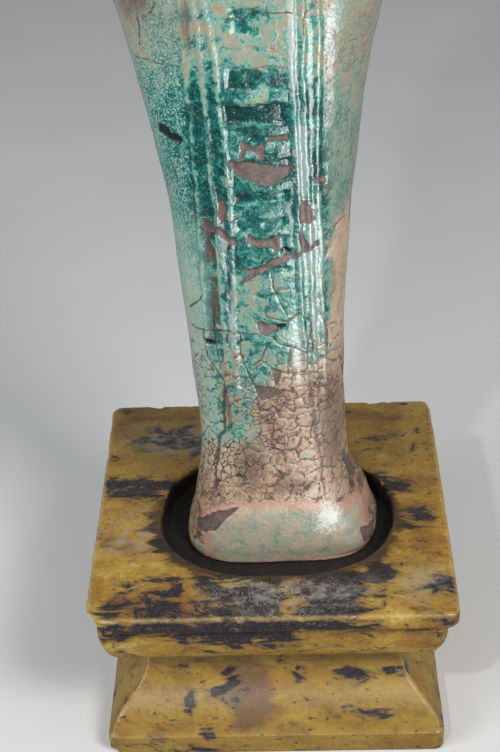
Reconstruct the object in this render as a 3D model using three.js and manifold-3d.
// An ancient glazed figurine in the shape of a mummy, standing in the socket of a small moulded marble plinth.
// Millimetres, Z up. The origin is the centre of the plinth's underside, and the figure looks along -Y.
import * as THREE from "three";
import { mergeVertices } from "three/addons/utils/BufferGeometryUtils.js";
import Module from "manifold-3d";

// The plinth: one square block with the same moulding on its four sides.
const plinthHeight = 35;
const slab = { width: 66, thickness: 3.8, arris: 0.7, underRound: 1.2, cornerRadius: 2.2 };
const quarterRound = { width: 62.6, top: 30.1, bottom: 21.8, inset: 3.8 };
const neck = { width: 48, bottom: 16.8 };
const flare = { width: 61.2, bottom: 4.7, step: 0.4, bend: 11.2, bendWidth: 54, bulge: 1.3 };
const bottomArris = 0.4;
const mouldingCornerRadius = 1.6;

// The socket in the plinth's top is a rounded hole with a bowed front.
const socket = { x: 1.0, y: -3.2, halfWidth: 21.8, halfDepth: 18.2, power: 2.4, depth: 4.3 };

// The damage to the plinth: each chip is the part of a ball that bites into the block.
const chips = [
  { at: [-35.4, -35.8, 33.6], radii: [5.2, 6.6, 5.4] }, // the slab's front left corner
  { at: [31.8, -32.0, 23.0], radii: [3.6, 3.6, 3.6] }, // the quarter round's front right corner
  { at: [-32.2, -32.4, 0.4], radii: [3.2, 3.2, 3.4] }, // the underside's front left corner
];

// The figure stands just clear of the socket's floor, and leans a little towards -X.
const standingGap = 0.3;
const axisSetBack = 1.5;
const axisShift = 1.0;
const lean = -0.0195;

// Its cross-sections from the sole up: the half-width, the depths in front of and behind the axis, how square
// each half of the curve is (a power of 2 is an ellipse), and how far the foot stands aside.
const sections = [
  { z: 0.0, side: 17.3, front: 14.8, back: 11.4, frontPower: 3.6, backPower: 2.2, aside: 1.0 },
  { z: 1.2, side: 17.95, front: 14.9, back: 11.7, frontPower: 3.6, backPower: 2.2, aside: 1.3 },
  { z: 4.0, side: 16.9, front: 15.2, back: 11.7, frontPower: 3.6, backPower: 2.2, aside: 1.3 },
  { z: 8.0, side: 15.9, front: 14.9, back: 11.5, frontPower: 3.4, backPower: 2.2, aside: 1.05 },
  { z: 11.2, side: 14.7, front: 14.4, back: 11.3, frontPower: 3.1, backPower: 2.2, aside: 0.45 },
  { z: 13.0, side: 14.2, front: 13.8, back: 11.2, frontPower: 2.9, backPower: 2.2, aside: 0.3 },
  { z: 15.5, side: 13.85, front: 12.8, back: 11.0, frontPower: 2.7, backPower: 2.2, aside: 0.25 },
  { z: 20.0, side: 13.45, front: 11.8, back: 10.8, frontPower: 2.5, backPower: 2.1, aside: 0.2 },
  { z: 27.0, side: 13.4, front: 11.0, back: 10.8, frontPower: 2.3, backPower: 2.1, aside: 0.05 },
  { z: 36.0, side: 13.6, front: 10.8, back: 11.2, frontPower: 2.3, backPower: 2.1, aside: -0.15 },
  { z: 48.0, side: 14.1, front: 11.1, back: 11.9, frontPower: 2.3, backPower: 2.1, aside: -0.15 },
  { z: 62.0, side: 15.0, front: 11.9, back: 12.5, frontPower: 2.3, backPower: 2.1, aside: 0 },
  { z: 70.0, side: 15.55, front: 12.5, back: 13.0, frontPower: 2.3, backPower: 2.1, aside: 0.05 },
  { z: 83.0, side: 17.3, front: 13.4, back: 14.2, frontPower: 2.3, backPower: 2.1, aside: -0.05 },
  { z: 94.0, side: 19.1, front: 14.1, back: 14.8, frontPower: 2.3, backPower: 2.1, aside: -0.15 },
  { z: 104.0, side: 21.2, front: 14.6, back: 14.2, frontPower: 2.3, backPower: 2.2, aside: 0 },
  { z: 116.0, side: 24.3, front: 14.6, back: 13.0, frontPower: 2.3, backPower: 2.3, aside: -0.05 },
  { z: 126.0, side: 25.8, front: 14.4, back: 12.8, frontPower: 2.3, backPower: 2.3, aside: 0 },
  { z: 137.0, side: 25.9, front: 13.6, back: 13.2, frontPower: 2.4, backPower: 2.3, aside: 0 },
  { z: 143.5, side: 23.8, front: 12.6, back: 13.4, frontPower: 2.3, backPower: 2.2, aside: 0 },
  { z: 148.0, side: 19.2, front: 11.6, back: 13.6, frontPower: 2.1, backPower: 2.1, aside: 0 },
  { z: 152.5, side: 17.0, front: 11.9, back: 14.2, frontPower: 2.1, backPower: 2.1, aside: 0 },
  { z: 159.0, side: 17.2, front: 12.9, back: 14.9, frontPower: 2.1, backPower: 2.1, aside: 0 },
  { z: 167.0, side: 16.6, front: 13.6, back: 15.3, frontPower: 2.1, backPower: 2.1, aside: 0 },
  { z: 175.0, side: 14.4, front: 12.6, back: 14.0, frontPower: 2.0, backPower: 2.0, aside: 0 },
  { z: 180.5, side: 10.8, front: 9.8, back: 10.8, frontPower: 2.0, backPower: 2.0, aside: 0 },
  { z: 183.8, side: 5.8, front: 5.2, back: 5.8, frontPower: 2.0, backPower: 2.0, aside: 0 },
  { z: 185.0, side: 0.4, front: 0.4, back: 0.4, frontPower: 2.0, backPower: 2.0, aside: 0 },
];
const figureHeight = sections[sections.length - 1].z;

// The text column on the front: three raised lines on each side, which run up to the arms and fade out above
// the foot.
const column = { middle: 0.35, top: 124, fadeFrom: 46, fadeTo: 30, ridges: [6.0, 7.9, 9.8] };
const ridge = { reach: 0.95, height: 0.45 };

// Plain shallow strokes stand in for the text, one under another. A negative depth stands proud.
const strokes = [
  { x: -2.6, z: 109.6, width: 3.6, height: 1.5, depth: 0.4 },
  { x: 2.9, z: 109.6, width: 4.2, height: 1.5, depth: 0.4 },
  { x: 0.2, z: 104.6, width: 7.6, height: 4.4, depth: 0.4 },
  { x: 0.8, z: 99.6, width: 9.4, height: 1.4, depth: 0.35 },
  { x: 0.8, z: 95.4, width: 9.0, height: 4.2, depth: 0.5 },
  { x: 0.2, z: 92.3, width: 11.0, height: 1.6, depth: -0.3 },
  { x: 0.2, z: 89.5, width: 10.6, height: 3.8, depth: 0.8 },
  { x: 1.5, z: 85.2, width: 6.2, height: 1.5, depth: 0.35 },
  { x: 1.1, z: 79.4, width: 10.6, height: 4.6, depth: 0.45 },
  { x: 0.2, z: 74.3, width: 9.8, height: 1.7, depth: 0.45 },
  { x: -3.2, z: 69.6, width: 1.9, height: 3.6, depth: 0.4 },
  { x: 2.5, z: 70.0, width: 3.8, height: 1.5, depth: 0.35 },
  { x: 0.2, z: 66.4, width: 5.6, height: 2.6, depth: 0.4 },
  { x: 4.6, z: 65.4, width: 1.7, height: 4.0, depth: 0.5 },
  { x: -5.0, z: 58.6, width: 1.2, height: 13.0, depth: 0.45 },
  { x: 1.2, z: 60.6, width: 9.0, height: 1.4, depth: 0.4 },
  { x: 1.0, z: 55.4, width: 7.2, height: 1.5, depth: 0.3 },
  { x: 0.6, z: 48.8, width: 4.0, height: 2.8, depth: 0.4 },
];
const strokeSoftness = 0.5;

// The arms cross on the chest, the one on the -X side in front, and end in plain fists.
// A pair of numbers is where a form starts to fade in or out, and where it has.
const forearm = { elbow: [19.5, 120.5], wrist: [6.6, 131.2], elbowRadius: 4.9, wristRadius: 3.1 };
const forearmHeight = { forward: 2.0, behind: 1.25 };
const forearmSink = { share: 0.75, over: [16, 23] };
const upperArm = { height: 0.9, inner: [14.6, 17.4], bottom: [111, 122], top: [136, 144], turned: [1.5, 2.4] };
const fist = { x: 8.9, z: 133.0, halfLength: 3.9, halfWidth: 3.3, power: 2.8, forward: 2.75, behind: 2.3 };
const fistRounding = 0.75;
const underArms = [0, 0.4]; // the text column is lost where the arms stand this far out

// The wig: two lappets in front, which open out round the face, and one behind.
const lappet = { height: 1.5, bottom: [138.4, 139.6], top: [150, 157], turned: [1.1, 1.57] };
const lappetInside = { x: 4.9, spread: 3.6, over: [149, 155.5], edge: [-0.5, 0.3] };
const lappetOutside = { x: [12.8, 14], until: [147, 152] };
const backLappet = { height: 1.0, turned: [2.1, 2.3], bottom: [135.3, 136.7], top: [147, 153] };
const throat = { depth: 1.3, bottom: [139, 146], top: [149, 150.8] };
const ear = { x: 11.0, z: 161.4, halfWidth: 1.8, halfHeight: 3.4, height: 1.3, rounding: 0.7 };

// The face is a plain, calm one on the usual proportions: the eyes at half the head's height.
const face = { z: 160.8, halfWidth: 9.1, halfHeight: 10.4, jaw: 0.3, jawEnd: 1.5, browPower: 1.35 };
const faceSwell = { recess: 0.25, roundness: 0.011, middle: 0.3, edge: [0.93, 1.03] };
const wigRim = { height: 0.55, inner: [0.98, 1.07], outer: [1.15, 1.6], bottom: [152.5, 156] };
const headFrom = 147;
const faceParts = [
  { x: 0, z: 168.3, halfWidth: 8.0, halfHeight: 3.4, height: 0.5 }, // the forehead
  { x: 3.7, z: 165.6, halfWidth: 3.8, halfHeight: 1.3, height: 0.4 }, // the brows
  { x: 3.5, z: 163.4, halfWidth: 4.2, halfHeight: 2.6, height: -1.0 }, // the eye sockets
  { x: 3.7, z: 163.2, halfWidth: 2.9, halfHeight: 1.6, height: 0.9 }, // the eyes
  { x: 4.9, z: 159.2, halfWidth: 4.3, halfHeight: 4.6, height: 0.9 }, // the cheeks
  { x: 1.3, z: 158.9, halfWidth: 1.5, halfHeight: 1.5, height: 0.6 }, // the sides of the nose
  { x: 0, z: 155.2, halfWidth: 4.6, halfHeight: 3.0, height: 0.8 }, // the mouth's swelling
  { x: 0, z: 156.0, halfWidth: 3.3, halfHeight: 1.3, height: 0.5 }, // the upper lip
  { x: 0, z: 154.1, halfWidth: 2.9, halfHeight: 1.3, height: 0.5 }, // the lower lip
  { x: 0, z: 151.7, halfWidth: 4.2, halfHeight: 2.9, height: 1.2 }, // the chin
];
const nose = { top: 165.2, tip: 159.0, bottom: 157.2, halfWidthTop: 0.95, widening: 0.8, height: 2.15 };
const noseBridge = { share: 0.28, fade: [164.4, 167.2] };

// How finely the solids are cut into triangles.
const textLines = [1.9, 3.8, 5.05, 6.0, 6.95, 7.9, 8.85, 9.8, 10.75, 11.9];
const chestLines = [1.9, 3.7, 5.05, 6.3, 7.6, 9.1, 10.9, 13.0, 15.4, 18.2];
const faceLines = [1.1, 2.2, 3.3, 4.4, 5.5, 6.6, 7.7, 8.9, 10.1, 11.6];
const chestFrom = { start: 111, end: 123 };
const faceFrom = { start: 147, end: 153 };
const sideColumns = 10;
const rowSteps = [
  { to: 1.2, step: 0.6 },
  { to: 15.6, step: 1.8 },
  { to: 46, step: 3.4 },
  { to: 112, step: 1.9 },
  { to: 148, step: 1.75 },
  { to: 171, step: 1.15 },
  { to: 184.6, step: 2.2 },
];
const cornerSteps = 3;
const curveSteps = 6;
const arrisSteps = 2;
const socketSides = 48;
const chipDetail = 2;
const lineShare = 0.8; // the front lines reach no further than this share of the half-width
const sideSamples = 60;

const clamp = (value, low, high) => Math.min(high, Math.max(low, value));

// 0 below a, 1 above b and a smooth step between them.
function smooth(a, b, value) {
  const t = clamp((value - a) / (b - a), 0, 1);
  return t * t * (3 - 2 * t);
}

// A rounded swelling: 1 in the middle and 0 from a distance of 1 on.
const dome = (distance) => (distance < 1 ? Math.sqrt(1 - distance * distance) : 0);
const softBump = (distance) => 0.5 + 0.5 * Math.cos(Math.PI * Math.min(distance, 1));

const ovalDistance = (x, z, oval) => Math.hypot((x - oval.x) / oval.halfWidth, (z - oval.z) / oval.halfHeight);

// How far (x, z) lies from the line between two points, as a share of a radius that tapers along it.
function taperedDistance(x, z, start, end, startRadius, endRadius) {
  const along = [end[0] - start[0], end[1] - start[1]];
  const length2 = along[0] * along[0] + along[1] * along[1];
  const t = clamp(((x - start[0]) * along[0] + (z - start[1]) * along[1]) / length2, 0, 1);
  const away = Math.hypot(x - start[0] - t * along[0], z - start[1] - t * along[1]);
  return away / (startRadius + t * (endRadius - startRadius));
}

// The section at a height, between the two nearest listed ones, on a smooth curve through them all.
function sectionAt(z) {
  let i = 0;
  while (i < sections.length - 2 && z > sections[i + 1].z) i += 1;
  const low = sections[i];
  const high = sections[i + 1];
  const before = sections[Math.max(i - 1, 0)];
  const after = sections[Math.min(i + 2, sections.length - 1)];
  const height = high.z - low.z;
  const t = clamp((z - low.z) / height, 0, 1);
  const blended = {};
  for (const key of ["side", "front", "back", "frontPower", "backPower", "aside"]) {
    const lowSlope = (high[key] - before[key]) / (high.z - before.z);
    const highSlope = (after[key] - low[key]) / (after.z - low.z);
    blended[key] =
      (2 * t ** 3 - 3 * t ** 2 + 1) * low[key] +
      (t ** 3 - 2 * t ** 2 + t) * height * lowSlope +
      (3 * t ** 2 - 2 * t ** 3) * high[key] +
      (t ** 3 - t ** 2) * height * highSlope;
  }
  return blended;
}

// The section's radius in the direction theta, which is 0 in front and grows towards +X.
function radiusAt(section, theta) {
  const inFront = Math.cos(theta) > 0;
  const power = inFront ? section.frontPower : section.backPower;
  const depth = inFront ? section.front : section.back;
  const across = Math.abs(Math.sin(theta)) / section.side;
  const along = Math.abs(Math.cos(theta)) / depth;
  return (across ** power + along ** power) ** (-1 / power);
}

function columnRelief(x, z) {
  const shown = smooth(column.fadeTo, column.fadeFrom, z) * (1 - smooth(column.top, column.top + 1, z));
  const fromMiddle = Math.abs(x - column.middle);
  let height = 0;
  for (const place of column.ridges) {
    height += ridge.height * softBump(Math.abs(fromMiddle - place) / ridge.reach);
  }
  return shown * height;
}

function strokeRelief(x, z) {
  let height = 0;
  for (const stroke of strokes) {
    const beside = Math.abs(x - stroke.x) - stroke.width / 2;
    const above = Math.abs(z - stroke.z) - stroke.height / 2;
    const within = (1 - smooth(-strokeSoftness, 0, beside)) * (1 - smooth(-strokeSoftness, 0, above));
    height -= stroke.depth * within;
  }
  return height;
}

// A fist lies on the end of its forearm, on the side that the forearm points to.
function fistDistance(x, z, side) {
  const along = [forearm.elbow[0] - forearm.wrist[0], forearm.wrist[1] - forearm.elbow[1]];
  const length = Math.hypot(...along);
  const dx = side * x - fist.x;
  const dz = z - fist.z;
  const lengthways = Math.abs((dx * along[0] + dz * along[1]) / length) / fist.halfLength;
  const across = Math.abs((dz * along[0] - dx * along[1]) / length) / fist.halfWidth;
  return (lengthways ** fist.power + across ** fist.power) ** (1 / fist.power);
}

// The forearms and fists, which show from the front only.
function forearmRelief(x, z) {
  const { elbow, wrist, elbowRadius, wristRadius } = forearm;
  const sink = 1 - forearmSink.share * smooth(...forearmSink.over, Math.abs(x));
  const arm = (side) => {
    const start = [side * elbow[0], elbow[1]];
    const end = [-side * wrist[0], wrist[1]];
    return sink * dome(taperedDistance(x, z, start, end, elbowRadius, wristRadius));
  };
  return Math.max(
    forearmHeight.forward * arm(-1),
    forearmHeight.behind * arm(1),
    fist.forward * dome(fistDistance(x, z, 1)) ** fistRounding,
    fist.behind * dome(fistDistance(x, z, -1)) ** fistRounding,
  );
}

function upperArmRelief(x, z, theta) {
  return upperArm.height
    * smooth(...upperArm.inner, Math.abs(x))
    * smooth(...upperArm.bottom, z)
    * (1 - smooth(...upperArm.top, z))
    * (1 - smooth(...upperArm.turned, Math.abs(theta)));
}

function wigRelief(x, z, theta) {
  const across = Math.abs(x);
  const turned = Math.abs(theta);
  const [edgeStart, edgeEnd] = lappetInside.edge;
  const inner = lappetInside.x + lappetInside.spread * smooth(...lappetInside.over, z);
  const outside = smooth(...lappetOutside.x, across) * (1 - smooth(...lappetOutside.until, z));
  const sides = smooth(inner + edgeStart, inner + edgeEnd, across) * (1 - outside)
    * (1 - smooth(...lappet.turned, turned));
  const ends = smooth(...lappet.bottom, z) * (1 - smooth(...lappet.top, z));
  const behind = smooth(...backLappet.turned, turned)
    * smooth(...backLappet.bottom, z)
    * (1 - smooth(...backLappet.top, z));
  const hollow = (1 - smooth(inner - 1, inner, across))
    * smooth(...throat.bottom, z)
    * (1 - smooth(...throat.top, z));
  const front = Math.cos(theta) > 0 ? lappet.height * sides * ends - throat.depth * hollow : 0;
  return front + backLappet.height * behind;
}

function noseRelief(x, z) {
  const t = clamp((nose.top - z) / (nose.top - nose.tip), 0, 1);
  const halfWidth = nose.halfWidthTop + nose.widening * t;
  const ends = smooth(nose.bottom, nose.tip, z) * (1 - smooth(...noseBridge.fade, z));
  const rise = noseBridge.share + (1 - noseBridge.share) * t;
  return nose.height * rise * ends * softBump(Math.abs(x) / (2 * halfWidth));
}

// How far a point lies from the middle of the face, as a share of the way to its edge. The jaw is narrower.
function faceDistance(x, z) {
  const up = (z - face.z) / face.halfHeight;
  const narrowing = up > 0 ? 1 : 1 - face.jaw * Math.min(up * up, face.jawEnd);
  const height = up > 0 ? up ** face.browPower : -up;
  return Math.hypot(x / (face.halfWidth * narrowing), height);
}

function headRelief(x, z) {
  const edge = faceDistance(x, z);
  const across = Math.abs(x);
  let height = noseRelief(x, z) - faceSwell.recess - faceSwell.roundness * x * x;
  height += faceSwell.middle * softBump(edge);
  for (const part of faceParts) {
    height += part.height * softBump(ovalDistance(across, z, part));
  }
  const inside = 1 - smooth(...faceSwell.edge, edge);
  const rim = wigRim.height * smooth(...wigRim.inner, edge) * (1 - smooth(...wigRim.outer, edge))
    * smooth(...wigRim.bottom, z);
  return inside * height + rim + ear.height * dome(ovalDistance(across, z, ear)) ** ear.rounding;
}

// Everything that stands out from the plain body, in millimetres along the radius.
function reliefAt(x, z, theta) {
  const sides = Math.max(wigRelief(x, z, theta), upperArmRelief(x, z, theta));
  if (Math.cos(theta) <= 0) return sides;
  const arms = forearmRelief(x, z);
  const body = z < column.top ? columnRelief(x, z) + strokeRelief(x - column.middle, z) : 0;
  const head = z > headFrom ? headRelief(x, z) : 0;
  return body * (1 - smooth(...underArms, arms)) + Math.max(arms, sides) + head;
}

function figurePoint(theta, z) {
  const section = sectionAt(z);
  const plain = radiusAt(section, theta);
  const radius = plain + reliefAt(plain * Math.sin(theta), z, theta);
  const foot = plinthHeight - socket.depth + standingGap;
  return [
    axisShift + lean * z + section.aside + radius * Math.sin(theta),
    axisSetBack - radius * Math.cos(theta),
    foot + z,
  ];
}

// The directions of one half's columns: lines down the front that follow the carving, then even steps
// round the side to the middle of the back.
function halfColumns(z) {
  const section = sectionAt(z);
  const chest = smooth(chestFrom.start, chestFrom.end, z);
  const head = smooth(faceFrom.start, faceFrom.end, z);
  const lines = textLines.map((line, i) => {
    const below = line + chest * (chestLines[i] - line);
    return below + head * (faceLines[i] - below);
  });
  const fit = Math.min(1, (lineShare * section.side) / lines[lines.length - 1]);
  const directions = [];
  for (const line of lines) {
    const x = fit * line;
    const y = section.front * (1 - (x / section.side) ** section.frontPower) ** (1 / section.frontPower);
    directions.push(Math.atan2(x, y));
  }
  const start = directions[directions.length - 1];
  const lengths = [0];
  const places = [start];
  let last = null;
  for (let i = 0; i <= sideSamples; i += 1) {
    const theta = start + ((Math.PI - start) * i) / sideSamples;
    const radius = radiusAt(section, theta);
    const point = [radius * Math.sin(theta), -radius * Math.cos(theta)];
    if (last) {
      lengths.push(lengths[i - 1] + Math.hypot(point[0] - last[0], point[1] - last[1]));
      places.push(theta);
    }
    last = point;
  }
  const total = lengths[sideSamples];
  let at = 1;
  for (let i = 1; i <= sideColumns; i += 1) {
    const target = (total * i) / (sideColumns + 1);
    while (lengths[at] < target) at += 1;
    const part = (target - lengths[at - 1]) / (lengths[at] - lengths[at - 1]);
    directions.push(places[at - 1] + part * (places[at] - places[at - 1]));
  }
  return directions;
}

function figureRing(z) {
  const half = halfColumns(z);
  const directions = [0, ...half, Math.PI, ...half.map((theta) => -theta).reverse()];
  return directions.map((theta) => figurePoint(theta, z));
}

function rowHeights() {
  const heights = [0];
  for (const { to, step } of rowSteps) {
    const from = heights[heights.length - 1];
    const count = Math.max(1, Math.round((to - from) / step));
    for (let i = 1; i <= count; i += 1) {
      heights.push(from + ((to - from) * i) / count);
    }
  }
  return heights;
}

// A closed surface through rings of equal length, from the lowest to the highest, with a fan at each end.
function surfaceThrough(rings, lowest, highest) {
  const count = rings[0].length;
  const positions = [...rings.flat(2), ...lowest, ...highest];
  const lowestIndex = rings.length * count;
  const highestIndex = lowestIndex + 1;
  const index = [];
  for (let row = 0; row < rings.length - 1; row += 1) {
    for (let i = 0; i < count; i += 1) {
      const next = (i + 1) % count;
      const a = row * count + i;
      const b = row * count + next;
      const c = a + count;
      const d = b + count;
      index.push(a, b, d, a, d, c);
    }
  }
  const topRow = (rings.length - 1) * count;
  for (let i = 0; i < count; i += 1) {
    const next = (i + 1) % count;
    index.push(lowestIndex, next, i);
    index.push(highestIndex, topRow + i, topRow + next);
  }
  const geometry = new THREE.BufferGeometry();
  geometry.setAttribute("position", new THREE.Float32BufferAttribute(positions, 3));
  geometry.setIndex(index);
  return geometry;
}

function figureGeometry() {
  const rings = rowHeights().map(figureRing);
  const foot = plinthHeight - socket.depth + standingGap;
  const sole = [axisShift, axisSetBack, foot];
  const top = [axisShift + lean * figureHeight, axisSetBack, foot + figureHeight];
  return surfaceThrough(rings, sole, top);
}

// A square ring with rounded corners, counter-clockwise from above.
function squareRing(halfWidth, cornerRadius, z) {
  const ring = [];
  const inner = halfWidth - cornerRadius;
  for (let corner = 0; corner < 4; corner += 1) {
    const signX = corner === 0 || corner === 3 ? 1 : -1;
    const signY = corner < 2 ? 1 : -1;
    for (let i = 0; i <= cornerSteps; i += 1) {
      const angle = (corner + i / cornerSteps) * (Math.PI / 2);
      ring.push([signX * inner + cornerRadius * Math.cos(angle), signY * inner + cornerRadius * Math.sin(angle), z]);
    }
  }
  return ring;
}

// The moulding's outline from the underside up, as half-widths at heights, with the radius of the corners.
function mouldingOutline() {
  const outline = [];
  const add = (halfWidth, z, cornerRadius = mouldingCornerRadius) => outline.push({ halfWidth, z, cornerRadius });
  const bottomHalf = flare.width / 2;
  const bend = flare.bendWidth / 2;
  const neckHalf = neck.width / 2;
  add(bottomHalf - bottomArris, 0);
  add(bottomHalf, bottomArris);
  add(bottomHalf, flare.bottom - flare.step);
  for (let i = 0; i <= curveSteps; i += 1) {
    const rise = i / curveSteps;
    const out = (1 - rise ** flare.bulge) ** (1 / flare.bulge);
    add(bend + (bottomHalf - flare.step - bend) * out, flare.bottom + (flare.bend - flare.bottom) * rise);
  }
  for (let i = 1; i <= curveSteps; i += 1) {
    const angle = (i / curveSteps) * (Math.PI / 2);
    const out = 1 - Math.sin(angle);
    add(neckHalf + (bend - neckHalf) * out, neck.bottom - (neck.bottom - flare.bend) * Math.cos(angle));
  }
  const roundHalf = quarterRound.width / 2;
  add(neckHalf, quarterRound.bottom);
  for (let i = 0; i <= curveSteps; i += 1) {
    const angle = (i / curveSteps) * (Math.PI / 2);
    const out = roundHalf - quarterRound.inset * (1 - Math.sin(angle));
    add(out, quarterRound.top - (quarterRound.top - quarterRound.bottom) * Math.cos(angle));
  }
  const slabHalf = slab.width / 2;
  const slabBottom = plinthHeight - slab.thickness;
  add(roundHalf, slabBottom);
  for (let i = 0; i <= arrisSteps; i += 1) {
    const angle = (i / arrisSteps) * (Math.PI / 2);
    const inwards = slab.underRound * (1 - Math.sin(angle));
    add(slabHalf - inwards, slabBottom + slab.underRound * (1 - Math.cos(angle)), slab.cornerRadius);
  }
  for (let i = 0; i <= arrisSteps; i += 1) {
    const angle = (i / arrisSteps) * (Math.PI / 2);
    const inwards = slab.arris * (1 - Math.cos(angle));
    add(slabHalf - inwards, plinthHeight - slab.arris * (1 - Math.sin(angle)), slab.cornerRadius);
  }
  return outline;
}

function plinthBlock() {
  const rings = mouldingOutline().map(({ halfWidth, z, cornerRadius }) => squareRing(halfWidth, cornerRadius, z));
  return surfaceThrough(rings, [0, 0, 0], [0, 0, plinthHeight]);
}

function socketCutter() {
  const ring = (z) => {
    const points = [];
    for (let i = 0; i < socketSides; i += 1) {
      const angle = (i / socketSides) * 2 * Math.PI;
      const across = Math.abs(Math.cos(angle)) / socket.halfWidth;
      const along = Math.abs(Math.sin(angle)) / socket.halfDepth;
      const radius = (across ** socket.power + along ** socket.power) ** (-1 / socket.power);
      points.push([socket.x + radius * Math.cos(angle), socket.y + radius * Math.sin(angle), z]);
    }
    return points;
  };
  const floor = plinthHeight - socket.depth;
  const above = plinthHeight + 1;
  return surfaceThrough([ring(floor), ring(above)], [socket.x, socket.y, floor], [socket.x, socket.y, above]);
}

const wasm = await Module();
wasm.setup();

function solidOf(geometry) {
  const vertProperties = new Float32Array(geometry.getAttribute("position").array);
  const triVerts = new Uint32Array(geometry.getIndex().array);
  return new wasm.Manifold(new wasm.Mesh({ numProp: 3, vertProperties, triVerts }));
}

function geometryOf(solid) {
  const mesh = solid.getMesh();
  const geometry = new THREE.BufferGeometry();
  geometry.setAttribute("position", new THREE.Float32BufferAttribute(mesh.vertProperties, 3));
  geometry.setIndex(Array.from(mesh.triVerts));
  return geometry;
}

// A ball with its own radius along each axis, as one closed mesh.
function ballGeometry({ at, radii }) {
  const ball = new THREE.IcosahedronGeometry(1, chipDetail);
  ball.deleteAttribute("normal");
  ball.deleteAttribute("uv");
  return mergeVertices(ball.scale(...radii).translate(...at));
}

function plinthGeometry() {
  let solid = solidOf(plinthBlock()).subtract(solidOf(socketCutter()));
  for (const chip of chips) {
    solid = solid.subtract(solidOf(ballGeometry(chip)));
  }
  return geometryOf(solid);
}

const glaze = new THREE.MeshStandardMaterial({ color: 0x93a08a, roughness: 0.45, metalness: 0 });
const marble = new THREE.MeshStandardMaterial({ color: 0xa98435, roughness: 0.3, metalness: 0 });

function namedMesh(name, geometry, material) {
  const mesh = new THREE.Mesh(geometry, material);
  mesh.name = name;
  return mesh;
}

const ushabtiOnPlinth = new THREE.Group();
ushabtiOnPlinth.add(namedMesh("ushabti", figureGeometry(), glaze));
ushabtiOnPlinth.add(namedMesh("marble_plinth", plinthGeometry(), marble));

export default ushabtiOnPlinth;
